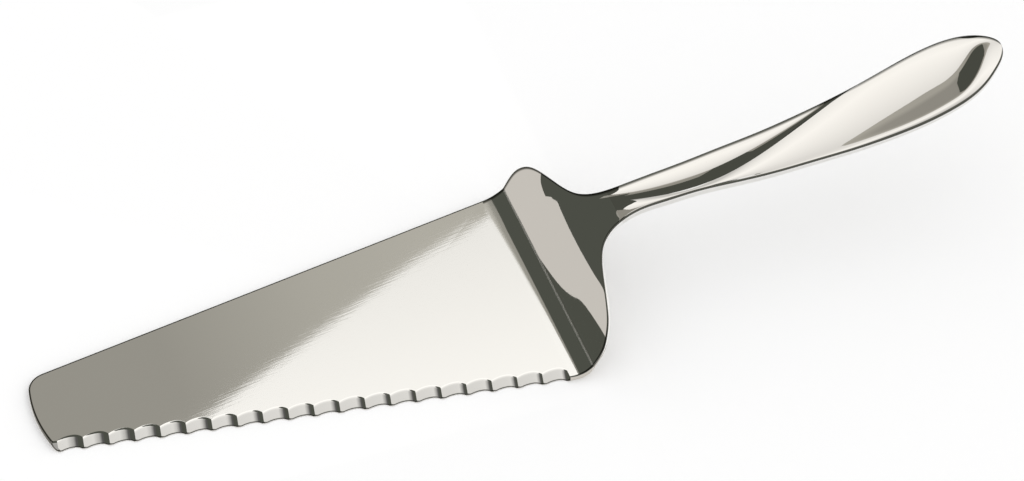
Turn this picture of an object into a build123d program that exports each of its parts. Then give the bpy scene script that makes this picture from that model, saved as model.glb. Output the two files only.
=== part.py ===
from build123d import *
from math import asin, atan, atan2, cos, degrees, pi, sin, sqrt
import os

os.makedirs("parts", exist_ok=True)

# Serrated cake server, all sizes in millimetres.
# X runs from the blade (tip at -X) to the handle, the serrated edge is on the -Y side,
# and Z is up from the flat underside of the blade. X = 0 is the root line of the blade.

# Blade plate
blade_length = 133.2
blade_thickness = 1.4
root_half_width = 33.6
tip_half_width = 12.6
tip_arc_depth = 2.0
far_corner_radius = 6.0
near_corner_radius = 1.5

# Concave bend between the plate and the crease at the foot of the fan
bend_start = 1.8
underside_bend_start = 0.4
root_flare_place = 2.2
crease_place = 4.1
crease_height = 3.8

# Ground scallops along the near edge
scallop_count = 20
scallop_pitch = 6.52
scallop_depth = 1.25
scallop_apex_share = 0.37
cusp_inset = 2.25
grind_run = 2.75
serration_margin = 2.15
end_wall_run = 0.3

# Fan, from the crease to the seam at the neck
fan_half_width = 33.8
fan_run = 17.9
fan_rise = 19.65

# Handle, from the seam to its end
handle_run = 105.9
handle_rise = 22.5
leaf_half_width = 11.5
belly_depth = 5.5
rim_chamfer = 0.35
relief = 1.1

# Hollow inside of the handle, and how far under the rims its two shells meet
wall = 0.9
roof_drop = 1.5
parting_drop = 1.75
cavity_end_gap = 12.0

# Tang inside the handle and the filler that holds it
tang_root_width = 4.6
tang_tip_width = 2.8
tang_thickness = 1.2
tang_drop = 1.8
tang_root_overlap = 1.0
tang_length = 58.0
filler_length = 64.0

# Cuts run past what they cut by this much
overrun = 1.0

seam_place = crease_place + fan_run
seam_height = crease_height + fan_rise
handle_end = seam_place + handle_run

# The body from the crease to the end of the handle. The first three numbers of a row are its run, its rise
# and its half width as shares of the fan's or the handle's own sizes. Next are the depth, square to the top,
# as a share of the belly depth and the round of the underside's corners as a share of the half width.
fan_shares = [
    (0.000, 0.000, 1.000, 0.20, 0.020),
    (0.078, 0.127, 1.003, 0.20, 0.020),
    (0.162, 0.270, 0.990, 0.20, 0.020),
    (0.240, 0.407, 0.941, 0.20, 0.022),
    (0.318, 0.534, 0.850, 0.21, 0.027),
    (0.397, 0.651, 0.690, 0.23, 0.040),
    (0.475, 0.746, 0.515, 0.27, 0.090),
    (0.564, 0.817, 0.370, 0.35, 0.220),
    (0.693, 0.883, 0.262, 0.50, 0.500),
    (0.832, 0.941, 0.207, 0.66, 0.780),
]
handle_shares = [
    (0.000, 0.000, 0.511, 0.78, 0.90),
    (0.047, 0.066, 0.449, 0.85, 0.95),
    (0.113, 0.111, 0.458, 0.89, 0.95),
    (0.198, 0.156, 0.487, 0.91, 0.95),
    (0.302, 0.191, 0.582, 0.93, 0.95),
    (0.397, 0.227, 0.661, 0.95, 0.95),
    (0.491, 0.289, 0.739, 0.96, 0.95),
    (0.585, 0.362, 0.830, 0.98, 0.95),
    (0.680, 0.464, 0.922, 1.00, 0.95),
    (0.765, 0.585, 0.993, 1.00, 0.95),
    (0.831, 0.694, 1.000, 0.96, 0.95),
    (0.888, 0.793, 0.930, 0.86, 0.95),
    (0.930, 0.875, 0.778, 0.70, 0.95),
    (0.962, 0.938, 0.574, 0.52, 0.95),
    (0.985, 0.975, 0.365, 0.33, 0.95),
    (1.000, 1.000, 0.000, 0.00, 0.95),
]

# The relief on top. A row holds the place along the handle as a share of its run, the crest's place across
# as a share of the half width, then the crest's height, the scoop's depth, the leaf's dish and the height
# of the leaf's near lip as shares of the relief, and how far across the leaf its curve reaches. Where the
# scoop is below zero it is no hollow any more but the crest's steep far flank.
relief_shares = [
    (-0.169, 0.62, 0.06, 0.06, 0.04, 0.00, 1.00),
    (-0.090, 0.58, 0.06, 0.06, 0.04, 0.00, 1.00),
    (-0.040, 0.45, 0.12, 0.14, 0.04, 0.02, 1.00),
    (0.000, 0.18, 0.25, 0.28, 0.05, 0.05, 1.00),
    (0.047, -0.31, 0.40, 0.45, 0.05, 0.10, 1.00),
    (0.113, -0.69, 0.48, 0.55, 0.05, 0.12, 1.00),
    (0.198, -0.82, 0.52, 0.60, 0.08, 0.10, 1.00),
    (0.302, -0.47, 0.55, 0.62, 0.15, 0.10, 1.00),
    (0.397, 0.00, 0.57, 0.60, 0.24, 0.14, 1.00),
    (0.491, 0.42, 0.62, 0.36, 0.36, 0.22, 1.00),
    (0.546, 0.63, 0.64, 0.06, 0.45, 0.32, 1.00),
    (0.602, 0.80, 0.60, -0.22, 0.55, 0.52, 1.00),
    (0.680, 0.92, 0.46, -0.26, 0.66, 0.98, 1.02),
    (0.765, 0.92, 0.40, -0.22, 0.72, 1.30, 1.02),
    (0.831, 0.92, 0.38, -0.20, 0.78, 1.40, 1.00),
    (0.878, 0.92, 0.36, -0.20, 0.82, 1.40, 0.95),
    (0.925, 0.92, 0.31, -0.18, 0.76, 1.15, 0.72),
    (0.963, 0.92, 0.20, -0.12, 0.38, 0.66, 0.42),
    (0.985, 0.92, 0.10, -0.06, 0.12, 0.24, 0.34),
    (1.000, 0.92, 0.04, -0.02, 0.06, 0.10, 0.34),
]

# The top's slope is measured over this step to each side
slope_step = 0.05

# How far the ends of the scoop's and the leaf's curves hold their direction
reach_share = 0.36
leaf_reach_shares = (0.30, 0.80, 0.94)
rim_share = 0.12

# The underside's curve is divided where the shells meet, as far as this sine of its angle
seam_sine_limit = 0.85

fan_section_count = 18
handle_section_count = 36
end_crowding = 1.5
last_section_share = 0.9985
cavity_section_count = 10
cavity_side_count = 6
tang_point_count = 8


def smooth(places, values):
    """Natural cubic curve through the given values, as a function of the place."""
    count = len(places)
    steps = [places[i + 1] - places[i] for i in range(count - 1)]
    bends = [0.0] * count
    factors = [0.0] * count
    for i in range(1, count - 1):
        slope_change = (values[i + 1] - values[i]) / steps[i] - (values[i] - values[i - 1]) / steps[i - 1]
        pivot = 2 * (steps[i - 1] + steps[i]) - steps[i - 1] * factors[i - 1]
        factors[i] = steps[i] / pivot
        bends[i] = (6 * slope_change - steps[i - 1] * bends[i - 1]) / pivot
    for i in range(count - 2, 0, -1):
        bends[i] -= factors[i] * bends[i + 1]

    def curve(place):
        i = max(k for k in range(count - 1) if k == 0 or places[k] <= place)
        step = steps[i]
        left = (places[i + 1] - place) / step
        right = 1 - left
        chord = left * values[i] + right * values[i + 1]
        bow = (left**3 - left) * bends[i] + (right**3 - right) * bends[i + 1]
        return chord + bow * step**2 / 6

    return curve


def body_curves():
    """Height, half width, depth and corner round along X, from the crease to the end of the handle."""
    places = [crease_place + row[0] * fan_run for row in fan_shares]
    places += [seam_place + row[0] * handle_run for row in handle_shares]
    heights = [crease_height + row[1] * fan_rise for row in fan_shares]
    heights += [seam_height + row[1] * handle_rise for row in handle_shares]
    widths = [row[2] * fan_half_width for row in fan_shares]
    widths += [row[2] * leaf_half_width for row in handle_shares]
    rows = fan_shares + handle_shares
    depths = [row[3] * belly_depth for row in rows]
    return (
        smooth(places, heights),
        smooth(places, [width**2 for width in widths]),
        smooth(places, [depth**2 for depth in depths]),
        smooth(places, [row[4] for row in rows]),
    )


def relief_curves():
    """Crest place, crest height, scoop, dish, lip and reach along X, all as shares."""
    places = [seam_place + row[0] * handle_run for row in relief_shares]
    return [smooth(places, [row[i] for row in relief_shares]) for i in range(1, 7)]


height_at, width_squared_at, depth_squared_at, corner_at = body_curves()
crest_at, crest_height_at, scoop_at, dish_at, lip_at, reach_at = relief_curves()


def slope_at(place):
    """Angle of the top's line from level, in radians."""
    return atan((height_at(place + slope_step) - height_at(place - slope_step)) / (2 * slope_step))


def under(place, drop):
    """Side-view point that lies the given drop under the rims, square to the top's line."""
    return place + drop * sin(slope_at(place)), height_at(place) - drop * cos(slope_at(place))


def across(place):
    """Plane square to the top's line, with its own x along Y and its origin between the rims."""
    slope = slope_at(place)
    return Plane(
        origin=(place, 0, height_at(place)),
        x_dir=(0, 1, 0),
        z_dir=(cos(slope), 0, sin(slope)),
    )


def half_width_at(place):
    return sqrt(width_squared_at(place))


def depth_at(place):
    return sqrt(depth_squared_at(place))


def body_section(place):
    """Cross section of the solid body: chamfered rims, scoop, crest and leaf on top, rounded underside."""
    half_width = half_width_at(place)
    rim = min(rim_chamfer, half_width * rim_share)
    flat = half_width - rim
    depth = depth_at(place) - rim
    corner = corner_at(place) * half_width
    level = half_width - corner
    seam_angle = degrees(asin(min((parting_drop - rim) / depth, seam_sine_limit)))
    crest_y = crest_at(place) * half_width
    crest_z = crest_height_at(place) * relief
    scoop_z = -scoop_at(place) * relief
    dish_z = -dish_at(place) * relief
    lip_z = lip_at(place) * relief
    scoop_reach = (flat - crest_y) * reach_share
    leaf_width = (crest_y + flat) * reach_at(place)
    leaf_ys = [crest_y - share * leaf_width for share in leaf_reach_shares]
    with BuildSketch(across(place)) as section:
        with BuildLine():
            Line((half_width, -rim), (flat, 0))
            Bezier(
                (flat, 0),
                (flat - scoop_reach, scoop_z),
                (crest_y + scoop_reach, scoop_z),
                (crest_y, crest_z),
            )
            Bezier(
                (crest_y, crest_z),
                (leaf_ys[0], dish_z),
                (leaf_ys[1], dish_z),
                (leaf_ys[2], lip_z),
                (-flat, 0),
            )
            Line((-half_width, -rim), (-flat, 0))
            for start, size in ((180, seam_angle), (180 + seam_angle, 90 - seam_angle)):
                EllipticalCenterArc((-level, -rim), corner, depth, start_angle=start, arc_size=size)
            Line((-level, -rim - depth), (level, -rim - depth))
            for start, size in ((270, 90 - seam_angle), (360 - seam_angle, seam_angle)):
                EllipticalCenterArc((level, -rim), corner, depth, start_angle=start, arc_size=size)
        make_face()
    return section.sketch


def cavity_section(place):
    """Cross section of the hollow: flat sides along half an ellipse, under a flat roof."""
    half_width = half_width_at(place) - wall
    depth = depth_at(place) - wall - roof_drop
    angles = [pi * i / cavity_side_count for i in range(cavity_side_count + 1)]
    with BuildSketch(across(place)) as section:
        with BuildLine():
            Polyline([(half_width * cos(a), -roof_drop - depth * sin(a)) for a in angles], close=True)
        make_face()
    return section.sketch


def handle_place(share):
    """Places along the handle that crowd together towards its rounded end."""
    return handle_end - handle_run * (1 - share) ** end_crowding


# Steep fan and neck
fan_sections = []
for i in range(fan_section_count):
    fan_sections.append(body_section(crease_place + fan_run * i / (fan_section_count - 1)))

with BuildPart() as fan:
    loft(sections=fan_sections, ruled=True)

# Tang, following the handle from inside the neck
tang_start = seam_place - tang_root_overlap
tang_end = seam_place + tang_length
tang_step = (tang_end - tang_start) / (tang_point_count - 1)
tang_places = [tang_start + i * tang_step for i in range(tang_point_count)]

with BuildPart() as tang:
    with BuildSketch(Plane.XZ):
        with BuildLine():
            upper = Polyline([under(place, tang_drop) for place in tang_places])
            lower = Polyline([under(place, tang_drop + tang_thickness) for place in tang_places])
            Line(upper @ 0, lower @ 0)
            Line(upper @ 1, lower @ 1)
        make_face()
    extrude(amount=tang_root_width, both=True)
    with BuildSketch(Plane.XY):
        with BuildLine():
            Polyline(
                (tang_start, -tang_root_width / 2),
                (tang_end, -tang_tip_width / 2),
                (tang_end, tang_tip_width / 2),
                (tang_start, tang_root_width / 2),
                close=True,
            )
        make_face()
    extrude(amount=seam_height + handle_rise, mode=Mode.INTERSECT)

# Blade: a flat plate bent up at its root, the scallops ground into its near edge, then the fan and the tang
tip_shoulder = blade_length - tip_arc_depth
edge_angle = atan2(root_half_width - tip_half_width, tip_shoulder)
crease_top = (crease_place, crease_height)
crease_underside = under(crease_place, depth_at(crease_place))

with BuildPart() as blade:
    with BuildSketch(Plane.XY):
        with BuildLine():
            ThreePointArc(
                (-tip_shoulder, -tip_half_width),
                (-blade_length, 0),
                (-tip_shoulder, tip_half_width),
            )
            for side in (-1, 1):
                Polyline(
                    (-tip_shoulder, side * tip_half_width),
                    (0, side * root_half_width),
                    (root_flare_place, side * fan_half_width),
                    (crease_underside[0], side * fan_half_width),
                )
            Line((crease_underside[0], -fan_half_width), (crease_underside[0], fan_half_width))
        make_face()
        tip_corners = vertices().sort_by(Axis.X)[:2].sort_by(Axis.Y)
        fillet(tip_corners[1], far_corner_radius)
        near_corner = vertices().filter_by(lambda corner: corner.Y < 0).sort_by(Axis.X)[0]
        fillet(near_corner, near_corner_radius)
    extrude(amount=crease_height)
    with BuildSketch(Plane.XZ):
        with BuildLine():
            Line((-blade_length, 0), (underside_bend_start, 0))
            TangentArc((underside_bend_start, 0), crease_underside, tangent=(1, 0))
            Line(crease_underside, crease_top)
            TangentArc((-bend_start, blade_thickness), crease_top, tangent=(1, 0))
            Line((-bend_start, blade_thickness), (-blade_length, blade_thickness))
            Line((-blade_length, blade_thickness), (-blade_length, 0))
        make_face()
    extrude(amount=fan_half_width, both=True, mode=Mode.INTERSECT)

    outward = Vector(-sin(edge_angle), -cos(edge_angle), 0)
    edge_plane = Plane(
        origin=(0, -root_half_width, blade_thickness),
        x_dir=(-cos(edge_angle), sin(edge_angle), 0),
        z_dir=(0, 0, 1),
    )
    with BuildSketch(edge_plane):
        with BuildLine():
            first_point = (serration_margin - end_wall_run, 0)
            last_point = first_point
            for i in range(scallop_count):
                apex = (
                    serration_margin + (i + scallop_apex_share) * scallop_pitch,
                    -cusp_inset - scallop_depth,
                )
                cusp = (serration_margin + (i + 1) * scallop_pitch, -cusp_inset)
                TangentArc(apex, last_point, tangent=(-1, 0))
                TangentArc(apex, cusp, tangent=(1, 0))
                last_point = cusp
            Polyline(
                last_point,
                (last_point[0] + overrun, last_point[1]),
                (last_point[0] + overrun, overrun),
                (first_point[0], overrun),
                first_point,
            )
        make_face()
    slant = outward * grind_run - Vector(0, 0, blade_thickness)
    extrude(amount=slant.length, dir=slant, mode=Mode.SUBTRACT)
    add(fan.part)
    add(tang.part)

# Whole handle as one solid, which the two shells are cut from
handle_places = [handle_place(i / (handle_section_count - 1)) for i in range(handle_section_count - 1)]
handle_places.append(handle_place(last_section_share))
handle_sections = [body_section(place) for place in handle_places]

with BuildPart() as handle_body:
    loft(sections=handle_sections, ruled=True)

# Hollow inside the handle
cavity_run = handle_run - cavity_end_gap
cavity_sections = []
for i in range(cavity_section_count):
    cavity_sections.append(cavity_section(seam_place + cavity_run * i / (cavity_section_count - 1)))

with BuildPart() as cavity:
    loft(sections=cavity_sections, ruled=True)

# Space above the surface where the two shells meet
with BuildPart() as over_parting:
    with BuildSketch(Plane.XZ):
        with BuildLine():
            parting_places = [seam_place - overrun, *handle_places, handle_end + overrun]
            parting = Polyline([under(place, parting_drop) for place in parting_places])
            top = seam_height + handle_rise + overrun
            Polyline(parting @ 0, (seam_place - overrun, top), (handle_end + overrun, top), parting @ 1)
        make_face()
    extrude(amount=leaf_half_width + overrun, both=True)

# Sculpted top shell of the handle
with BuildPart() as handle_top_shell:
    add(handle_body.part)
    add(cavity.part, mode=Mode.SUBTRACT)
    add(over_parting.part, mode=Mode.INTERSECT)

# Rounded bottom shell of the handle
with BuildPart() as handle_bottom_shell:
    add(handle_body.part)
    add(cavity.part, mode=Mode.SUBTRACT)
    add(over_parting.part, mode=Mode.SUBTRACT)

# Filler around the tang, in the front of the hollow
with BuildPart() as tang_cement:
    add(cavity.part)
    with BuildSketch(Plane.YZ.offset(seam_place + filler_length)):
        Rectangle(2 * (leaf_half_width + overrun), 2 * (seam_height + handle_rise))
    extrude(amount=handle_run, mode=Mode.SUBTRACT)
    add(tang.part, mode=Mode.SUBTRACT)

blade.part.label = "blade"
handle_top_shell.part.label = "handle_top_shell"
handle_bottom_shell.part.label = "handle_bottom_shell"
tang_cement.part.label = "tang_cement"

export_step(blade.part, "parts/blade.step")
export_step(handle_top_shell.part, "parts/handle_top_shell.step")
export_step(handle_bottom_shell.part, "parts/handle_bottom_shell.step")
export_step(tang_cement.part, "parts/tang_cement.step")
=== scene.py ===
from math import atan2, cos, pi, radians, sin, sqrt

import bpy
import numpy as np
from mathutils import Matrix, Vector
from mathutils.geometry import delaunay_2d_cdt


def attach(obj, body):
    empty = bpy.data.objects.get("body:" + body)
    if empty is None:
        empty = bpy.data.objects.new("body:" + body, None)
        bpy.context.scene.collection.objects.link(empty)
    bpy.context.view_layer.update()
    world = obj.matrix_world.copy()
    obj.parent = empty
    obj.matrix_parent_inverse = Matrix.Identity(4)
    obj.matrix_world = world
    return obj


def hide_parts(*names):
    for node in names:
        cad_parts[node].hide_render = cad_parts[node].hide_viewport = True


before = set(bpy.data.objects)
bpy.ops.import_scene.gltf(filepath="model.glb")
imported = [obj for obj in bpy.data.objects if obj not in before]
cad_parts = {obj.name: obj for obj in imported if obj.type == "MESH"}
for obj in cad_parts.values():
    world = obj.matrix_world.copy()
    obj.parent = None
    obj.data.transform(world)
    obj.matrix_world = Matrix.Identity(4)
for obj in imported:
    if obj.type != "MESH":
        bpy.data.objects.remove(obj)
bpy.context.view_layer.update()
MM = 0.001

# Blade plate, in millimetres like every length below
blade_length = 133.2
blade_thickness = 1.4
root_half_width = 33.6
tip_half_width = 12.6
tip_arc_depth = 2.0
far_corner_radius = 6.0
near_corner_radius = 1.5
plate_rim = 0.14
plate_corner = 0.05

# Bend between the plate and the crease at the foot of the fan
bend_start = 1.8
underside_bend_start = 0.4
underside_arc_share = 0.27
root_flare_place = 2.2
crease_place = 4.1
crease_height = 3.8

# Ground scallops along the near edge
scallop_count = 20
scallop_pitch = 6.52
scallop_depth = 1.25
scallop_apex_share = 0.37
cusp_inset = 2.25
grind_run = 2.75
longest_grind_share = 0.985
grind_round = 0.42
grind_round_share = 0.45
serration_margin = 2.15
end_wall_run = 0.3

# Fan and handle
fan_half_width = 33.8
fan_run = 17.9
fan_rise = 19.65
handle_run = 105.9
handle_rise = 22.5
leaf_half_width = 11.5
belly_depth = 5.5
rim_round = 0.35
relief = 1.1
parting_drop = 1.75

# Tang inside the handle
tang_root_width = 4.6
tang_tip_width = 2.8
tang_thickness = 1.2
tang_drop = 1.8
tang_root_overlap = 1.0
tang_length = 58.0

seam_place = crease_place + fan_run
seam_height = crease_height + fan_rise
handle_end = seam_place + handle_run
serration_end = serration_margin + scallop_count * scallop_pitch

# Rows of run, rise, half width, depth and corner round, as shares of the sizes above
fan_shares = [
    (0.000, 0.000, 1.000, 0.20, 0.020),
    (0.078, 0.127, 1.003, 0.20, 0.020),
    (0.162, 0.270, 0.990, 0.20, 0.020),
    (0.240, 0.407, 0.941, 0.20, 0.022),
    (0.318, 0.534, 0.850, 0.21, 0.027),
    (0.397, 0.651, 0.690, 0.23, 0.040),
    (0.475, 0.746, 0.515, 0.27, 0.090),
    (0.564, 0.817, 0.370, 0.35, 0.220),
    (0.693, 0.883, 0.262, 0.50, 0.500),
    (0.832, 0.941, 0.207, 0.66, 0.780),
]
handle_shares = [
    (0.000, 0.000, 0.511, 0.78, 0.90),
    (0.047, 0.066, 0.449, 0.85, 0.95),
    (0.113, 0.111, 0.458, 0.89, 0.95),
    (0.198, 0.156, 0.487, 0.91, 0.95),
    (0.302, 0.191, 0.582, 0.93, 0.95),
    (0.397, 0.227, 0.661, 0.95, 0.95),
    (0.491, 0.289, 0.739, 0.96, 0.95),
    (0.585, 0.362, 0.830, 0.98, 0.95),
    (0.680, 0.464, 0.922, 1.00, 0.95),
    (0.765, 0.585, 0.993, 1.00, 0.95),
    (0.831, 0.694, 1.000, 0.96, 0.95),
    (0.888, 0.793, 0.930, 0.86, 0.95),
    (0.930, 0.875, 0.778, 0.70, 0.95),
    (0.962, 0.938, 0.574, 0.52, 0.95),
    (0.985, 0.975, 0.365, 0.33, 0.95),
    (1.000, 1.000, 0.000, 0.00, 0.95),
]

# Rows of place along the handle, crest place, crest height, scoop, dish, lip and reach of the leaf's curve
relief_shares = [
    (-0.169, 0.62, 0.06, 0.06, 0.04, 0.00, 1.00),
    (-0.090, 0.58, 0.06, 0.06, 0.04, 0.00, 1.00),
    (-0.040, 0.45, 0.12, 0.14, 0.04, 0.02, 1.00),
    (0.000, 0.18, 0.25, 0.28, 0.05, 0.05, 1.00),
    (0.047, -0.31, 0.40, 0.45, 0.05, 0.10, 1.00),
    (0.113, -0.69, 0.48, 0.55, 0.05, 0.12, 1.00),
    (0.198, -0.82, 0.52, 0.60, 0.08, 0.10, 1.00),
    (0.302, -0.47, 0.55, 0.62, 0.15, 0.10, 1.00),
    (0.397, 0.00, 0.57, 0.60, 0.24, 0.14, 1.00),
    (0.491, 0.42, 0.62, 0.36, 0.36, 0.22, 1.00),
    (0.546, 0.63, 0.64, 0.06, 0.45, 0.32, 1.00),
    (0.602, 0.80, 0.60, -0.22, 0.55, 0.52, 1.00),
    (0.680, 0.92, 0.46, -0.26, 0.66, 0.98, 1.02),
    (0.765, 0.92, 0.40, -0.22, 0.72, 1.30, 1.02),
    (0.831, 0.92, 0.38, -0.20, 0.78, 1.40, 1.00),
    (0.878, 0.92, 0.36, -0.20, 0.82, 1.40, 0.95),
    (0.925, 0.92, 0.31, -0.18, 0.76, 1.15, 0.72),
    (0.963, 0.92, 0.20, -0.12, 0.38, 0.66, 0.42),
    (0.985, 0.92, 0.10, -0.06, 0.12, 0.24, 0.34),
    (1.000, 0.92, 0.04, -0.02, 0.06, 0.10, 0.34),
]

slope_step = 0.05
reach_share = 0.36
leaf_reach_shares = (0.30, 0.80, 0.94)
rim_share = 0.12
seam_sine_limit = 0.85
thin_seam_angle = 45

# The lean of the fan's mirror at its foot, in degrees and degrees to the millimetre, and where it ends
foot_lean = 3.3
foot_lean_gain = 0.14
foot_start = 9.8
foot_end = 12.6
foot_margin = 0.01
far_lean_reach = 0.12
far_lean_start = 12.0

# The dark lines along the rims are painted reflection: the steel's colour darkens there in place of the
# shade that the rims would mirror. A surface's distance from them is counted in full at a factor of one.
clear_of_painted_rim = 9.0
painted_rim_line = 0.62
painted_rim_line_softness = 0.3
painted_rim_strip = 0.3
near_painted_rim_factor = 4.0
far_painted_rim_factor = 0.62
leaf_painted_rim_factor = 0.5
ground_painted_rim_factor = 2.5

# How finely the surfaces are divided
fan_count = 70
bend_count = 24
handle_count = 190
scoop_count = 30
leaf_count = 44
rim_count = 7
round_count = 6
side_count = 16
seam_count = 8
bottom_count = 12
arc_count = 12
margin_count = 3
near_corner_count = 8
run_on_count = 6
tip_count = 24
far_corner_count = 14
tang_count = 30
lower_count = seam_count + side_count - 1
end_crowding = 1.5
last_section_share = 0.9985

# How far past the last scallop the ground face's end is looked for, and how often a search is halved
run_on_search = 3.0
halvings = 60

# Points in one cell of this fine a grid are one point, and values under the least ones count as zero
cells_per_millimetre = 2e5
least_length = 1e-6
least_normal = 1e-9
tiny = 1e-12
plan_tolerance = 1e-5
triangles_inside = 1

# Polished steel, with places along X where its polish changes
blade_tint = (0.93, 0.925, 0.905)
handle_tint = (0.81, 0.795, 0.77)
# Dark colour of the painted reflection along the rims
painted_rim_reflection = (0.11, 0.112, 0.098)
blade_rough = 0.015
handle_rough = 0.02
patch_scale = 90
patch_detail = 4
patch_spread = 0.3
line_scale = 1
line_stretch = (140, 2500, 2500)
line_detail = 3
line_depth = 0.01
blade_brushing = 0.16
least_brushing = 0.02
brushing_end = -3
smooth_start = 0.5
plate_rough = 0.018
plate_rough_end = -6
plate_clear_start = -3
satin_place = -0.6
satin_reach = 2.2
satin_rough = 0.09
crease_line = 0.22
crease_core_share = 0.6
dull_rough = 0.55

# Filler inside the handle
filler_tint = (0.35, 0.33, 0.3)
filler_spread = 0.3
filler_rough = (0.7, 0.95)
grain_scale = 900
grain_detail = 6
grain_depth = 0.2
grain_strength = 0.4

# Camera, with its focal length in pixels of the photograph
camera_target = (1.15, 18.44, 0)
camera_back = (-0.237, -0.657, 0.716)
camera_distance = 1600
view_limit = 20000
focal_pixels = 6176
photo_width = 1024
sensor_width = 36

# Studio
floor_half_size = 3000
floor_drop = 0.2
floor_tint = (0.97, 0.97, 0.97)
floor_rough = 0.9
world_strength = 1.025
screen_height = 289
softbox_height = 290
side_height = 291
ceiling_height = 295
table_height = -0.1
soft_white = (1.18, 1.16, 1.12)
soft_gray = (0.320, 0.308, 0.274)
room_dark = (0.076, 0.080, 0.066)
table_gray = (0.60, 0.57, 0.53)


def smooth(places, values):
    """Natural cubic curve through the given values, as a function of the place."""
    places = np.array(places, float)
    values = np.array(values, float)
    steps = np.diff(places)
    count = len(places)
    system = np.eye(count)
    turns = np.zeros(count)
    for i in range(1, count - 1):
        system[i, i - 1] = steps[i - 1]
        system[i, i] = 2 * (steps[i - 1] + steps[i])
        system[i, i + 1] = steps[i]
        turns[i] = 6 * ((values[i + 1] - values[i]) / steps[i] - (values[i] - values[i - 1]) / steps[i - 1])
    bends = np.linalg.solve(system, turns)

    def curve(place):
        i = np.clip(np.searchsorted(places, place, side="right") - 1, 0, count - 2)
        left = (places[i + 1] - place) / steps[i]
        right = 1 - left
        bow = (left**3 - left) * bends[i] + (right**3 - right) * bends[i + 1]
        return left * values[i] + right * values[i + 1] + bow * steps[i] ** 2 / 6

    return curve


body_places = [crease_place + row[0] * fan_run for row in fan_shares]
body_places += [seam_place + row[0] * handle_run for row in handle_shares]
body_heights = [crease_height + row[1] * fan_rise for row in fan_shares]
body_heights += [seam_height + row[1] * handle_rise for row in handle_shares]
body_widths = [row[2] * fan_half_width for row in fan_shares]
body_widths += [row[2] * leaf_half_width for row in handle_shares]
body_rows = fan_shares + handle_shares
height_at = smooth(body_places, body_heights)
width_squared_at = smooth(body_places, [width**2 for width in body_widths])
depth_squared_at = smooth(body_places, [(row[3] * belly_depth) ** 2 for row in body_rows])
corner_at = smooth(body_places, [row[4] for row in body_rows])
relief_places = [seam_place + row[0] * handle_run for row in relief_shares]
crest_at, crest_height_at, scoop_at, dish_at, lip_at, reach_at = [
    smooth(relief_places, column) for column in list(zip(*relief_shares))[1:]
]


def slope_at(place):
    """Angle of the top's line from level."""
    return np.arctan((height_at(place + slope_step) - height_at(place - slope_step)) / (2 * slope_step))


def half_width_at(place):
    return np.sqrt(np.maximum(width_squared_at(place), 0))


def depth_at(place):
    return np.sqrt(np.maximum(depth_squared_at(place), 0))


def bezier(points, count):
    """Points along a curve that is held by the given ones."""
    t = np.linspace(0, 1, count)[:, None]
    layers = [np.array(point, float)[None, :] * np.ones_like(t) for point in points]
    while len(layers) > 1:
        layers = [(1 - t) * a + t * b for a, b in zip(layers, layers[1:])]
    return layers[0]


def quarter(centre, radii, start, end, count):
    """Points along part of an ellipse, between two angles in degrees."""
    angles = np.linspace(radians(start), radians(end), count)
    return np.stack([centre[0] + radii[0] * np.cos(angles), centre[1] + radii[1] * np.sin(angles)], 1)


def section(half_width, rim, depth, corner, place, relief_share=1.0):
    """Closed cross section as named arcs of (across, up) points, from the far rim over the top."""
    flat = half_width - rim
    lower = depth - rim
    level = half_width - corner
    seam = thin_seam_angle
    if lower > rim:
        seam = np.degrees(np.arcsin(min((parting_drop - rim) / lower, seam_sine_limit)))
    crest_y = crest_at(place) * half_width
    crest_z = crest_height_at(place) * relief * relief_share
    scoop_z = -scoop_at(place) * relief * relief_share
    dish_z = -dish_at(place) * relief * relief_share
    lip_z = lip_at(place) * relief * relief_share
    reach = (flat - crest_y) * reach_share
    leaf_width = (crest_y + flat) * reach_at(place)
    leaf_ys = [crest_y - share * leaf_width for share in leaf_reach_shares]
    scoop = [(flat, 0), (flat - reach, scoop_z), (crest_y + reach, scoop_z), (crest_y, crest_z)]
    leaf = [(crest_y, crest_z), *zip(leaf_ys, (dish_z, dish_z, lip_z)), (-flat, 0)]
    bottom = [np.linspace(-level, level, bottom_count), np.full(bottom_count, -rim - lower)]
    return {
        "far_rim": quarter((flat, -rim), (rim, rim), 0, 90, rim_count),
        "scoop": bezier(scoop, scoop_count),
        "leaf": bezier(leaf, leaf_count),
        "near_rim": quarter((-flat, -rim), (rim, rim), 90, 180, rim_count),
        "near_side": quarter((-level, -rim), (corner, lower), 180, 180 + seam, seam_count),
        "near_belly": quarter((-level, -rim), (corner, lower), 180 + seam, 270, side_count),
        "bottom": np.stack(bottom, 1),
        "far_belly": quarter((level, -rim), (corner, lower), 270, 360 - seam, side_count),
        "far_side": quarter((level, -rim), (corner, lower), 360 - seam, 360, seam_count),
    }


def station(arcs, depth, put):
    """The arcs of a cross section put in space, and a point inside."""
    inside = put(np.array([(0, -depth / 2)]))[0]
    return {name: put(points) for name, points in arcs.items()}, inside


def body_station(place):
    """A cross section of the fan, neck or handle in space."""
    half_width = float(half_width_at(place))
    rim = min(rim_round, half_width * rim_share)
    depth = float(depth_at(place))
    slope = float(slope_at(place))
    height = float(height_at(place))

    def put(points):
        x = place - points[:, 1] * sin(slope)
        return np.stack([x, points[:, 0], height + points[:, 1] * cos(slope)], 1)

    corner = float(corner_at(place)) * half_width
    return station(section(half_width, rim, depth, corner, place), depth, put)


def turn(start, end, share):
    """Point at a share of the arc that leaves the start level and ends at the end."""
    run = end[0] - start[0]
    rise = end[1] - start[1]
    radius = (run**2 + rise**2) / (2 * rise)
    angle = share * 2 * atan2(rise, run)
    return start[0] + radius * sin(angle), start[1] + radius * (1 - cos(angle))


def edge_half_width(x):
    """Half width of the plate and the bend at x, before the scallops are ground."""
    if x < 0:
        return root_half_width + x * (root_half_width - tip_half_width) / (blade_length - tip_arc_depth)
    if x < root_flare_place:
        return root_half_width + (fan_half_width - root_half_width) * x / root_flare_place
    return fan_half_width


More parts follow.
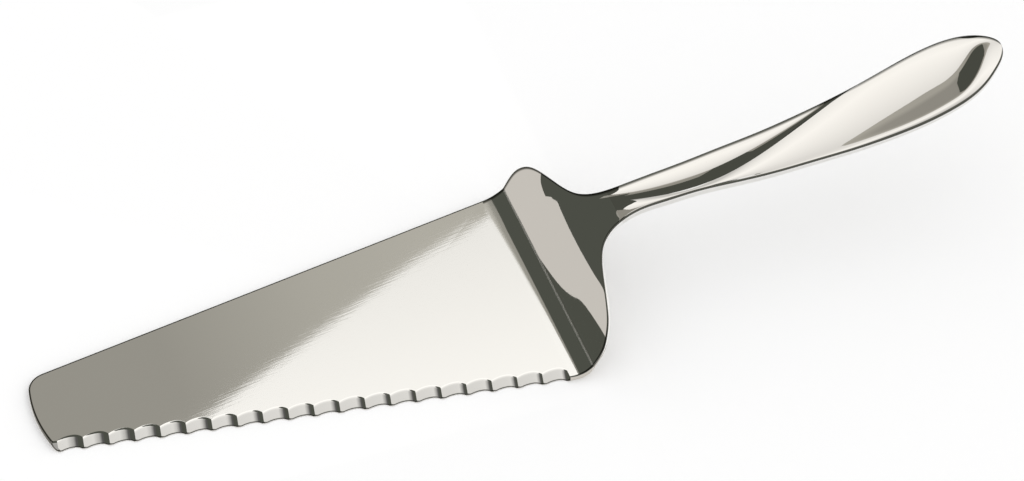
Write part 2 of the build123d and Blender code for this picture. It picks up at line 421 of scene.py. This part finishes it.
crease_slope = float(slope_at(crease_place))
crease_depth = float(depth_at(crease_place))
crease_under = (
    crease_place + crease_depth * sin(crease_slope),
    crease_height - crease_depth * cos(crease_slope),
)


def bend_station(share):
    """A cross section of the bend in space."""
    top = turn((-bend_start, blade_thickness), (crease_place, crease_height), share)
    if share < underside_arc_share:
        low = (-bend_start + (underside_bend_start + bend_start) * share / underside_arc_share, 0.0)
    else:
        arc_share = (share - underside_arc_share) / (1 - underside_arc_share)
        low = turn((underside_bend_start, 0), crease_under, arc_share)
    depth = sqrt((top[0] - low[0]) ** 2 + (top[1] - low[1]) ** 2)
    rim = plate_rim + (rim_round - plate_rim) * share
    full_corner = float(corner_at(crease_place)) * fan_half_width
    corner = plate_corner + (full_corner - plate_corner) * share

    def put(points):
        down = -points[:, 1] / depth
        x = top[0] + down * (low[0] - top[0])
        return np.stack([x, points[:, 0], top[1] + down * (low[1] - top[1])], 1)

    half_width = edge_half_width(top[0])
    return station(section(half_width, rim, depth, corner, crease_place, share**2), depth, put)


def lean_at(x, y):
    """How far the fan's mirror leans back at its foot, as if the sheet bowed by about a millimetre."""
    climb = x - far_lean_reach * np.maximum(y - far_lean_start, 0)
    share = np.clip((climb - foot_start) / (foot_end - foot_start), 0, 1)
    fall = 1 - share**2 * (3 - 2 * share)
    lean = np.radians(foot_lean + foot_lean_gain * (x - crease_place))
    return lean * fall * (x > crease_place - foot_margin)


def lean_back(normals, points):
    """The normals of upper surfaces, leaned back by what their place asks for."""
    lean = lean_at(points[..., 0], points[..., 1]) * (normals[..., 2] > 0)
    x = normals[..., 0] * np.cos(lean) + normals[..., 2] * np.sin(lean)
    z = normals[..., 2] * np.cos(lean) - normals[..., 0] * np.sin(lean)
    return np.stack([x, normals[..., 1], z], 2)


class Skin:
    """A piece's surface, gathered from grids and flat faces, with normals that show no facets."""

    def __init__(self):
        self.points = []
        self.found = {}
        self.faces = []
        self.normals = []
        self.painted_rim_gaps = []

    def vertex(self, point):
        """The number of the vertex at a point, a new one if there is none yet."""
        key = tuple(np.round(np.array(point) * cells_per_millimetre).astype(int))
        if key not in self.found:
            self.found[key] = len(self.points)
            self.points.append([float(value) * MM for value in point])
        return self.found[key]

    def face(self, corners, normals, painted_rim_gaps=None):
        """Adds a face without the corners that fall together, unless too few are left."""
        ids = [self.vertex(corner) for corner in corners]
        kept = [i for i in range(len(ids)) if ids[i] != ids[i - 1]]
        different = len(set(ids[i] for i in kept))
        if different < 3 or different < len(kept):
            return
        self.faces.append([ids[i] for i in kept])
        self.normals.extend(tuple(float(value) for value in normals[i]) for i in kept)
        self.painted_rim_gaps.extend(float(painted_rim_gaps[i]) if painted_rim_gaps is not None else clear_of_painted_rim for i in kept)

    def grid(self, points, inside, painted_rim_gaps=None):
        """Adds a grid of points. The inside points, one a row, say which way is out."""
        points = np.array(points, float)
        along = np.gradient(points, axis=0, edge_order=2 if len(points) > 2 else 1)
        across = np.gradient(points, axis=1, edge_order=2 if points.shape[1] > 2 else 1)
        normals = np.cross(along, across)
        lengths = np.linalg.norm(normals, axis=2, keepdims=True)
        normals /= np.maximum(lengths, tiny)
        outward = points - np.array(inside, float)[:, None, :]
        sign = 1 if np.sum(normals * outward * (lengths > least_normal)) > 0 else -1
        normals = lean_back(normals * sign, points)
        rows, columns = points.shape[:2]
        if painted_rim_gaps is None:
            painted_rim_gaps = np.full((rows, columns), clear_of_painted_rim)
        for i in range(rows - 1):
            for j in range(columns - 1):
                cell = [(i, j), (i + 1, j), (i + 1, j + 1), (i, j + 1)]
                if sign < 0:
                    cell.reverse()
                self.face([points[c] for c in cell], [normals[c] for c in cell], [painted_rim_gaps[c] for c in cell])

    def flat(self, outline, normal):
        """Adds one flat face round an outline."""
        outline = np.array(outline, float)
        area = np.zeros(3)
        for i in range(len(outline)):
            area += np.cross(outline[i - 1] - outline[0], outline[i] - outline[0])
        if np.dot(area, normal) < 0:
            outline = outline[::-1]
        self.face(list(outline), [normal] * len(outline))

    def level(self, outline, height, way):
        """Adds a level face of any outline, divided into triangles, that faces up or down."""
        count = len(outline)
        plan = [Vector((float(point[0]), float(point[1]))) for point in outline]
        rim = [(i, (i + 1) % count) for i in range(count)]
        whole = [list(range(count))]
        places, _, triangles, _, _, _ = delaunay_2d_cdt(plan, rim, whole, triangles_inside, plan_tolerance)
        for triangle in triangles:
            corners = [(places[i].x, places[i].y, height) for i in triangle]
            if way < 0:
                corners.reverse()
            self.face(corners, [(0, 0, way)] * len(corners))

    def make(self, name):
        """Makes the mesh and the object."""
        mesh = bpy.data.meshes.new(name)
        mesh.from_pydata(self.points, [], self.faces)
        mesh.polygons.foreach_set("use_smooth", [True] * len(self.faces))
        mesh.normals_split_custom_set(self.normals)
        # Each corner's distance from the painted dark reflection along the rims, which the steel's colour
        # reads
        mesh.attributes.new("edge", "FLOAT", "CORNER").data.foreach_set("value", self.painted_rim_gaps)
        mesh.update()
        piece = bpy.data.objects.new(name, mesh)
        bpy.context.scene.collection.objects.link(piece)
        return piece


def gaps_to_painted_rim(stations, name):
    """How far the points of an arc lie from the painted dark reflection that runs along a rim."""
    across = np.array([arcs[name] for arcs, _ in stations])[..., 1]
    if name in ("far_rim", "near_rim"):
        return np.zeros_like(across)
    far_rims = np.array([arcs["far_rim"][0][1] for arcs, _ in stations])[:, None]
    near_rims = np.array([arcs["near_rim"][0][1] for arcs, _ in stations])[:, None]
    if name == "scoop":
        return (far_rims - across) * far_painted_rim_factor
    if name == "leaf":
        return np.minimum((across - near_rims) * near_painted_rim_factor, (far_rims - across) * leaf_painted_rim_factor)
    return np.full_like(across, clear_of_painted_rim)


def add_stations(skin, stations, names):
    """Adds the named arcs of a run of cross sections."""
    insides = [inside for _, inside in stations]
    for name in names:
        skin.grid([arcs[name] for arcs, _ in stations], insides, gaps_to_painted_rim(stations, name))


def ring(arcs, names):
    """The points round a cross section, through the named arcs."""
    points = []
    for name in names:
        points.extend(arcs[name][:-1])
    points.append(arcs[names[-1]][-1])
    return points


# The arcs of the handle's two shells, which meet along the parting line
top_names = ["far_side", "far_rim", "scoop", "leaf", "near_rim", "near_side"]
low_names = ["near_belly", "bottom", "far_belly"]
arc_names = top_names[1:] + low_names + top_names[:1]

fan_stations = [body_station(place) for place in np.linspace(crease_place, seam_place, fan_count)]
bend_stations = [bend_station(share) for share in np.linspace(0, 1, bend_count)]
handle_station_shares = list(np.linspace(0, 1, handle_count)[:-1]) + [last_section_share]
handle_stations = [
    body_station(handle_end - handle_run * (1 - share) ** end_crowding) for share in handle_station_shares
]

# Plan of the plate. Its long edges are straight and its tip is an arc.
edge_angle = atan2(root_half_width - tip_half_width, blade_length - tip_arc_depth)
toward_tip = np.array([-cos(edge_angle), sin(edge_angle)])
near_outward = np.array([-sin(edge_angle), -cos(edge_angle)])
near_start = np.array([0.0, -root_half_width])
tip_radius = (tip_half_width**2 + tip_arc_depth**2) / (2 * tip_arc_depth)
tip_centre = np.array([-blade_length + tip_radius, 0.0])


def near_point(along, out):
    """Plan point at a distance along the near edge from the root and a distance out from it."""
    return near_start + toward_tip * along + near_outward * out


def tip_way(angle):
    """The way out of the tip's arc at an angle from the middle line."""
    return np.array([-cos(angle), sin(angle)])


def tip_angle_of(point):
    """The angle from the middle line at which the tip's arc meets a plan point."""
    return atan2(point[1], -(point[0] - tip_centre[0]))


def halve(low, high, is_short):
    """The last place between two others that still falls short."""
    for _ in range(halvings):
        middle = (low + high) / 2
        if is_short(middle):
            low = middle
        else:
            high = middle
    return low


def corner_rows(side, radius, count):
    """Edge points and ways out round the corner on one side, from the tip's arc to the long edge."""
    normal = np.array([-sin(edge_angle), side * cos(edge_angle)])
    # The centre lies its radius in from the edge's line and from the tip's arc
    base = np.array([0.0, side * root_half_width]) - normal * radius
    along = np.array([-cos(edge_angle), -side * sin(edge_angle)])

    def is_short(place):
        return np.linalg.norm(base + along * place - tip_centre) < tip_radius - radius

    centre = base + along * halve(-tip_centre[0], blade_length, is_short)
    out = (centre - tip_centre) / np.linalg.norm(centre - tip_centre)
    start = atan2(out[1], out[0])
    end = atan2(normal[1], normal[0])
    if end - start > pi:
        end -= 2 * pi
    if start - end > pi:
        end += 2 * pi
    ways = [np.array([cos(angle), sin(angle)]) for angle in np.linspace(start, end, count)]
    return [(centre + way * radius, way) for way in ways]


def wall_row(edge, outward):
    """Points down a plain edge, over the top's strip where the painted dark reflection fades in, a rounded
    rim and an upright wall.
    """
    edge = np.array(edge, float)
    outward = np.array(outward, float)
    rim = quarter((-plate_rim, blade_thickness - plate_rim), (plate_rim, plate_rim), 90, 0, rim_count)
    lower = blade_thickness - plate_rim
    side = quarter((-plate_corner, lower), (plate_corner, lower), 0, -90, lower_count)
    strip = [(-plate_rim - painted_rim_strip, blade_thickness)]
    profile = np.concatenate([strip, rim, side[1:]])
    plan = edge[None, :] + outward[None, :] * profile[:, :1]
    return np.concatenate([plan, profile[:, 1:]], 1)


def ground_row(edge, reach, foot=None):
    """Points down a slanting ground face and the thin upright land that is left under it."""
    edge = np.array(edge, float)
    full = min(reach, grind_run * longest_grind_share)
    way = near_outward
    if foot is not None:
        way = np.array(foot, float) - edge
        full = float(np.dot(way, near_outward))
        way = way / max(full, least_length)
    soft = min(grind_round, full * grind_round_share)
    rolled = np.linspace(-soft, soft, round_count)
    steps = np.concatenate([rolled, np.linspace(soft, full, rim_count)[1:]])
    fall = np.where(steps < soft, (steps + soft) ** 2 / max(4 * soft, least_length), steps)
    outward = way[None, :] * np.maximum(steps, 0)[:, None]
    inward = near_outward[None, :] * np.minimum(steps, 0)[:, None]
    plan = edge[None, :] + outward + inward
    slanted = np.concatenate([plan, (blade_thickness * (1 - fall / grind_run))[:, None]], 1)
    land = np.linspace(0, 1, lower_count)[1:, None]
    last = slanted[-1]
    inset = last[:2][None, :] - near_outward[None, :] * plate_corner * land**2 * min(1.0, full / grind_run)
    upright = np.concatenate([inset, last[2] * (1 - land)], 1)
    return np.concatenate([slanted, upright])


def arc_points(start, end, count):
    """An arc in the edge's own plan, level at the end, from the start."""
    run = start[0] - end[0]
    rise = start[1] - end[1]
    radius = (run**2 + rise**2) / (2 * rise)
    angles = np.linspace(2 * atan2(rise, abs(run)), 0, count)
    side = 1 if run > 0 else -1
    return [(end[0] + side * radius * sin(a), end[1] + radius * (1 - cos(a))) for a in angles]


def margin_run(first_row, first_along):
    """Short stretch of plain edge before the first scallop, with the bend's row at its start."""
    start_along = bend_start / cos(edge_angle)
    places = np.linspace(start_along, first_along, margin_count)[1:]
    return [first_row] + [wall_row(near_point(along, 0), near_outward) for along in places]


def scallop_runs(first_along):
    """The ground faces of the scallops, one run each. The first rises from the plain edge."""
    runs = []
    last = (first_along, 0.0)
    for i in range(scallop_count):
        apex = (serration_margin + (i + scallop_apex_share) * scallop_pitch, -cusp_inset - scallop_depth)
        cusp = (serration_margin + (i + 1) * scallop_pitch, -cusp_inset)
        curve = arc_points(last, apex, arc_count) + arc_points(cusp, apex, arc_count)[::-1][1:]
        runs.append([ground_row(near_point(*point), -point[1]) for point in curve])
        last = cusp
    return runs


def near_tip_run(tip_top):
    """The ground face that runs on to the tip's arc, over the rounded near corner."""
    near_rows = corner_rows(-1, near_corner_radius, near_corner_count)[::-1]
    feet = [edge for edge, _ in near_rows]
    for angle in np.linspace(tip_angle_of(feet[-1]), tip_angle_of(tip_top), run_on_count)[1:-1]:
        feet.append(tip_centre + tip_radius * tip_way(angle))
    run = [ground_row(near_point(serration_end, -cusp_inset), cusp_inset)]
    return run + [ground_row(tip_top, cusp_inset, foot) for foot in feet]


def far_run(tip_top, last_row):
    """The plain edge round the tip's arc and the far corner, and the far edge up to the bend's row."""
    far_rows = corner_rows(1, far_corner_radius, far_corner_count)
    run = []
    for angle in np.linspace(tip_angle_of(tip_top), tip_angle_of(far_rows[0][0]), tip_count):
        way = tip_way(angle)
        run.append(wall_row(tip_centre + tip_radius * way, way))
    return run + [wall_row(edge, way) for edge, way in far_rows[1:]] + [last_row]


def plate_runs(first_bend, near_strip, far_strip):
    """Runs of rows down the plate's wall, with the bend's own rows at both ends so that they meet."""
    near_arcs = [first_bend["near_rim"], first_bend["near_side"][1:], first_bend["near_belly"][1:]]
    far_arcs = [first_bend["far_belly"], first_bend["far_side"][1:], first_bend["far_rim"][1:]]
    near_row = np.concatenate([near_strip, *near_arcs])
    far_row = np.concatenate([*far_arcs, far_strip])[::-1]
    first_along = serration_margin - end_wall_run

    def is_short(along):
        return np.linalg.norm(near_point(along, -cusp_inset) - tip_centre) < tip_radius

    tip_top = near_point(halve(serration_end, serration_end + run_on_search, is_short), -cusp_inset)
    runs = [margin_run(near_row, first_along)] + scallop_runs(first_along)
    return runs + [near_tip_run(tip_top), far_run(tip_top, far_row)]


def add_plate(skin):
    """Adds the walls, the top and the underside of the plate."""
    first_bend = bend_stations[0][0]
    inward_strip = np.array([0, painted_rim_strip, 0])
    near_strip = first_bend["near_rim"][:1] + inward_strip
    far_strip = first_bend["far_rim"][-1:] - inward_strip
    runs = plate_runs(first_bend, near_strip, far_strip)
    for run in runs:
        run = np.array(run)
        insides = [row.mean(axis=0) * np.array([1, 0, 1]) for row in run]
        upper_count = run.shape[1] - lower_count + 1
        upper_painted_rim_gaps = np.zeros((len(run), upper_count))
        upper_painted_rim_gaps[:, 0] = painted_rim_line
        # A ground face has more points than a plain rim, and its painted dark reflection runs along its
        # lower edge
        if upper_count > rim_count + 1:
            to_land = run[:, :upper_count] - run[:, upper_count - 1 : upper_count]
            upper_painted_rim_gaps = np.linalg.norm(to_land, axis=2) * ground_painted_rim_factor
        skin.grid(run[:, :upper_count], insides, upper_painted_rim_gaps)
        skin.grid(run[:, upper_count - 1 :], insides, np.zeros((len(run), lower_count)))
    top_outline = [row[0] for run in runs for row in run]
    low_outline = [row[-1] for run in runs for row in run]
    for point in [*first_bend["scoop"], *first_bend["leaf"][1:]]:
        if near_strip[0][1] < point[1] < far_strip[0][1]:
            top_outline.append(point)
    low_outline += list(first_bend["bottom"][::-1][1:-1])
    skin.level(top_outline, blade_thickness, 1)
    skin.level(low_outline, 0.0, -1)


def cut_way(slope):
    """The way that a cut square to the top's line faces, away from the fan."""
    return np.array([cos(slope), 0, sin(slope)])


def add_tang(skin):
    """Adds the tang, hidden inside the handle."""
    rows = []
    insides = []
    for place in np.linspace(seam_place - tang_root_overlap, seam_place + tang_length, tang_count):
        share = (place - seam_place + tang_root_overlap) / (tang_length + tang_root_overlap)
        half = (tang_root_width + (tang_tip_width - tang_root_width) * share) / 2
        slope = float(slope_at(place))
        height = float(height_at(place))
        low_drop = tang_drop + tang_thickness
        corners = [(-half, tang_drop), (half, tang_drop), (half, low_drop), (-half, low_drop)]
        rows.append([(place + drop * sin(slope), y, height - drop * cos(slope)) for y, drop in corners])
        insides.append(np.mean(rows[-1], axis=0))
    sides = len(rows[0])
    for i in range(sides):
        skin.grid([[row[i], row[(i + 1) % sides]] for row in rows], insides)
    skin.flat(rows[0], (-1, 0, 0))
    skin.flat(rows[-1], (1, 0, 0))


def blade_forging():
    """The plate, the bend, the fan and the tang, in one piece."""
    skin = Skin()
    add_plate(skin)
    add_stations(skin, bend_stations, arc_names)
    add_stations(skin, fan_stations, arc_names)
    skin.flat(ring(fan_stations[-1][0], arc_names)[:-1], cut_way(float(slope_at(seam_place))))
    add_tang(skin)
    return skin.make("blade_forging")


def shell(name, names):
    """One half of the handle, closed across the parting."""
    skin = Skin()
    add_stations(skin, handle_stations, names)
    parting = [[arcs[names[0]][0], arcs[names[-1]][-1]] for arcs, _ in handle_stations]
    middles = [np.mean(ring(arcs, names), axis=0) for arcs, _ in handle_stations]
    skin.grid(parting, middles)
    skin.flat(ring(handle_stations[0][0], names), -cut_way(float(slope_at(seam_place))))
    skin.flat(ring(handle_stations[-1][0], names), cut_way(float(slope_at(handle_end))))
    return skin.make(name)


blade = blade_forging()
top_shell = shell("handle_top", top_names)
bottom_shell = shell("handle_bottom", low_names)


class Paint:
    """A new node material, with short calls for the nodes that materials share."""

    def __init__(self, name):
        self.material = bpy.data.materials.new(name)
        self.material.use_nodes = True
        self.nodes = self.material.node_tree.nodes
        self.links = self.material.node_tree.links

    def give(self, value, socket):
        """Gives a socket a number, or what another node puts out."""
        if isinstance(value, (int, float)):
            socket.default_value = value
        else:
            self.links.new(value, socket)

    def reckon(self, operation, *values):
        """The outcome of a sum of numbers or of what other nodes put out."""
        node = self.nodes.new("ShaderNodeMath")
        node.operation = operation
        for value, socket in zip(values, node.inputs):
            self.give(value, socket)
        return node.outputs["Value"]

    def ramp(self, source, low, high, low_value, high_value):
        """A value that runs from one to another while the source runs over a range."""
        node = self.nodes.new("ShaderNodeMapRange")
        node.inputs["From Min"].default_value = low
        node.inputs["From Max"].default_value = high
        node.inputs["To Min"].default_value = low_value
        node.inputs["To Max"].default_value = high_value
        self.links.new(source, node.inputs["Value"])
        return node.outputs["Result"]

    def strip(self, along, place, core, reach, value):
        """A value that is full about a place, within a core, and is zero from a reach on."""
        distance = self.reckon("ABSOLUTE", self.reckon("SUBTRACT", along, place * MM))
        return self.ramp(distance, core * MM, reach * MM, value, 0)

    def noise(self, source, scale, detail, angle=0.0, stretch=(1, 1, 1)):
        """A noise pattern over the source's coordinates, turned about Z and then stretched."""
        turned = self.nodes.new("ShaderNodeMapping")
        turned.inputs["Rotation"].default_value = (0, 0, angle)
        self.links.new(source, turned.inputs["Vector"])
        stretched = self.nodes.new("ShaderNodeMapping")
        stretched.inputs["Scale"].default_value = stretch
        self.links.new(turned.outputs["Vector"], stretched.inputs["Vector"])
        pattern = self.nodes.new("ShaderNodeTexNoise")
        pattern.inputs["Scale"].default_value = scale
        pattern.inputs["Detail"].default_value = detail
        self.links.new(stretched.outputs["Vector"], pattern.inputs["Vector"])
        return pattern.outputs["Fac"]

    def blend(self, share, low_tint, high_tint):
        """A colour between two."""
        node = self.nodes.new("ShaderNodeMix")
        node.data_type = "RGBA"
        node.inputs["A"].default_value = (*low_tint, 1)
        node.inputs["B"].default_value = (*high_tint, 1)
        self.links.new(share, node.inputs["Factor"])
        return node.outputs["Result"]

    def bump(self, pattern, strength, depth):
        """A normal from a height pattern with a depth in millimetres."""
        node = self.nodes.new("ShaderNodeBump")
        node.inputs["Distance"].default_value = depth * MM
        self.give(strength, node.inputs["Strength"])
        self.links.new(pattern, node.inputs["Height"])
        return node.outputs["Normal"]

    def split(self, vector):
        """The parts X, Y and Z of a vector."""
        node = self.nodes.new("ShaderNodeSeparateXYZ")
        self.links.new(vector, node.inputs["Vector"])
        return node.outputs


def metal(name, tint, rough, brushing, angle):
    """Polished steel with painted dark reflections along the rims, fine polishing lines and places of
    duller polish.
    """
    paint = Paint(name)
    shader = paint.nodes["Principled BSDF"]
    shader.inputs["Metallic"].default_value = 1
    # The rims' dark line is painted reflection, mixed into the base colour by each corner's distance from
    # the rim
    rim = paint.nodes.new("ShaderNodeAttribute")
    rim.attribute_name = "edge"
    dark_end = painted_rim_line * (1 - painted_rim_line_softness)
    light_start = painted_rim_line * (1 + painted_rim_line_softness)
    off_painted_rim = paint.ramp(rim.outputs["Fac"], dark_end, light_start, 0, 1)
    paint.give(paint.blend(off_painted_rim, painted_rim_reflection, tint), shader.inputs["Base Color"])

    # Polishing lines run along the plate's edge and fade out over the bend
    place = paint.nodes.new("ShaderNodeTexCoord").outputs["Object"]
    along = paint.split(place)["X"]
    lines = paint.noise(place, line_scale, line_detail, angle, line_stretch)
    strength = paint.ramp(along, brushing_end * MM, smooth_start * MM, brushing, least_brushing)
    paint.give(paint.bump(lines, strength, line_depth), shader.inputs["Normal"])

    # The polish is duller in patches, at the bend's start, in the crease and on the plate
    patches = paint.noise(place, patch_scale, patch_detail)
    spread = paint.ramp(patches, 0, 1, rough * (1 - patch_spread), rough * (1 + patch_spread))
    satin = paint.strip(along, satin_place, 0, satin_reach, satin_rough)
    crease = paint.strip(along, crease_place, crease_line * crease_core_share, crease_line, dull_rough)
    plate = paint.ramp(along, plate_rough_end * MM, plate_clear_start * MM, plate_rough, 0)
    dull = paint.reckon("ADD", spread, paint.reckon("MAXIMUM", satin, crease))
    paint.give(paint.reckon("ADD", dull, plate), shader.inputs["Roughness"])
    return paint.material


def cement_paint(name, tint):
    """Matt filler with a grainy colour and a rough surface."""
    paint = Paint(name)
    shader = paint.nodes["Principled BSDF"]
    place = paint.nodes.new("ShaderNodeTexCoord").outputs["Object"]
    grain = paint.noise(place, grain_scale, grain_detail)
    dark = [value * (1 - filler_spread) for value in tint]
    light = [min(value * (1 + filler_spread), 1) for value in tint]
    paint.give(paint.blend(grain, dark, light), shader.inputs["Base Color"])
    paint.give(paint.ramp(grain, 0, 1, *filler_rough), shader.inputs["Roughness"])
    paint.give(paint.bump(grain, grain_strength, grain_depth), shader.inputs["Normal"])
    return paint.material


blade_metal = metal("blade_steel", blade_tint, blade_rough, blade_brushing, -edge_angle)
handle_metal = metal("handle_steel", handle_tint, handle_rough, least_brushing, 0.0)
blade.data.materials.append(blade_metal)
top_shell.data.materials.append(handle_metal)
bottom_shell.data.materials.append(handle_metal)

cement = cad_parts["tang_cement"]
cement.data.materials.clear()
cement.data.materials.append(cement_paint("filler", filler_tint))

for piece, node, slot_name in (
    (blade, "blade", "blade_steel"),
    (top_shell, "handle_top_shell", "handle_steel"),
    (bottom_shell, "handle_bottom_shell", "handle_steel"),
):
    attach(piece, "root")
    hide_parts(node)


def place_camera():
    """A camera at the photograph's viewing angle, a long way off."""
    target = Vector(camera_target) * MM
    back = Vector(camera_back).normalized()
    lens = bpy.data.cameras.new("camera")
    lens.sensor_width = sensor_width
    lens.lens = sensor_width * focal_pixels / photo_width
    lens.clip_end = view_limit * MM
    camera = bpy.data.objects.new("camera", lens)
    bpy.context.scene.collection.objects.link(camera)
    camera.location = target + back * (camera_distance * MM)
    camera.rotation_euler = (-back).to_track_quat("-Z", "Y").to_euler()
    bpy.context.scene.camera = camera


def lay_floor():
    """A plain pale floor, a little under the object."""
    mesh = bpy.data.meshes.new("floor")
    size = floor_half_size * MM
    corners = [(-size, -size, 0), (size, -size, 0), (size, size, 0), (-size, size, 0)]
    mesh.from_pydata(corners, [], [range(len(corners))])
    floor = bpy.data.objects.new("floor", mesh)
    bpy.context.scene.collection.objects.link(floor)
    floor.location.z = -floor_drop * MM
    paint = Paint("floor_paint")
    shader = paint.nodes["Principled BSDF"]
    shader.inputs["Base Color"].default_value = (*floor_tint, 1)
    shader.inputs["Roughness"].default_value = floor_rough
    mesh.materials.append(paint.material)


def light_world():
    """Even white light from all round, and colours shown as they are."""
    world = bpy.data.worlds.new("studio")
    bpy.context.scene.world = world
    world.use_nodes = True
    light = world.node_tree.nodes["Background"]
    light.inputs["Color"].default_value = (1, 1, 1, 1)
    light.inputs["Strength"].default_value = world_strength
    bpy.context.scene.view_settings.view_transform = "Standard"


def glow(name, tint, fades):
    """Plain light for a card. Each fade scales it along an axis, from one share at a place to another."""
    paint = Paint(name)
    paint.nodes.remove(paint.nodes["Principled BSDF"])
    light = paint.nodes.new("ShaderNodeEmission")
    light.inputs["Color"].default_value = (*tint, 1)
    paint.links.new(light.outputs["Emission"], paint.nodes["Material Output"].inputs["Surface"])
    if fades:
        position = paint.split(paint.nodes.new("ShaderNodeNewGeometry").outputs["Position"])
        strength = None
        for axis, low, high, *ends in fades:
            share = paint.ramp(position[axis], low * MM, high * MM, *ends)
            strength = share if strength is None else paint.reckon("MULTIPLY", strength, share)
        paint.give(strength, light.inputs["Strength"])
    return paint.material


def card(name, corners, tint, fades=()):
    """A studio card, with its corners in millimetres, that only glossy reflections show."""
    mesh = bpy.data.meshes.new(name)
    mesh.from_pydata([(x * MM, y * MM, z * MM) for x, y, z in corners], [], [range(len(corners))])
    mesh.materials.append(glow(name, tint, fades))
    sheet = bpy.data.objects.new(name, mesh)
    bpy.context.scene.collection.objects.link(sheet)
    sheet.visible_camera = False
    sheet.visible_diffuse = False
    sheet.visible_shadow = False
    sheet.visible_transmission = False


def level_card(name, outline, height, tint, fades=()):
    """A level studio card."""
    card(name, [(x, y, height) for x, y in outline], tint, fades)


def wall_card(name, start, end):
    """An upright dark studio card between two plan points."""
    corners = [(*start, 0), (*end, 0), (*end, ceiling_height), (*start, ceiling_height)]
    card(name, corners, room_dark)


place_camera()
lay_floor()
light_world()

# Large white card overhead, which dims to the left and towards its near and far sides
softbox_outline = [
    (-220, -60),
    (-130, 120),
    (-35, 235),
    (64, 283),
    (95, 296),
    (130, 318),
    (900, 900),
    (2000, -2000),
    (-220, -2000),
]
softbox_fades = [("Y", 140, 300, 1.0, 0.73), ("Y", -120, 140, 0.58, 1.0), ("X", -175, -60, 0.12, 1.0)]
level_card("softbox", softbox_outline, softbox_height, soft_white, softbox_fades)

# Gray card beyond its far side
side_outline = [(-78, 190), (-78, 292), (25, 302), (28, 350), (22, 400), (120, 400), (120, 290)]
side_fades = [("X", -25, 30, 1.0, 1.33), ("X", 30, 70, 1.0, 1.08), ("Y", 300, 325, 1.0, 0.75)]
level_card("softbox_side", side_outline, side_height, soft_gray, side_fades)

# Dark screen under the white card's left end
screen_outline = [(-220, -40), (-110, -20), (-60, 20), (-44, 45), (-44, 130), (-60, 212), (-220, 212)]
level_card("screen", screen_outline, screen_height, room_dark)

# The dark room round the cards
room_outline = [
    (130, 300),
    (190, 500),
    (350, 1100),
    (900, 2400),
    (900, 3500),
    (-4000, 3500),
    (-4000, -2000),
    (-200, -2000),
    (-100, 180),
]
level_card("room_ceiling", room_outline, ceiling_height, room_dark)
wall_card("room_back", (-4000, 3500), (900, 3500))
wall_card("room_left", (-4000, -2000), (-4000, 3500))

# The table that the object stands on, as its metal sees it
near_table_outline = [(-4000, -40), (20, -40), (20, 130), (-60, 130), (-2000, 3500), (-4000, 3500)]
far_table_outline = [(-60, 130), (900, 130), (900, 3500), (-2000, 3500)]
level_card("table_near", near_table_outline, table_height, table_gray)
level_card("table_far", far_table_outline, table_height, room_dark)

bpy.context.view_layer.update()
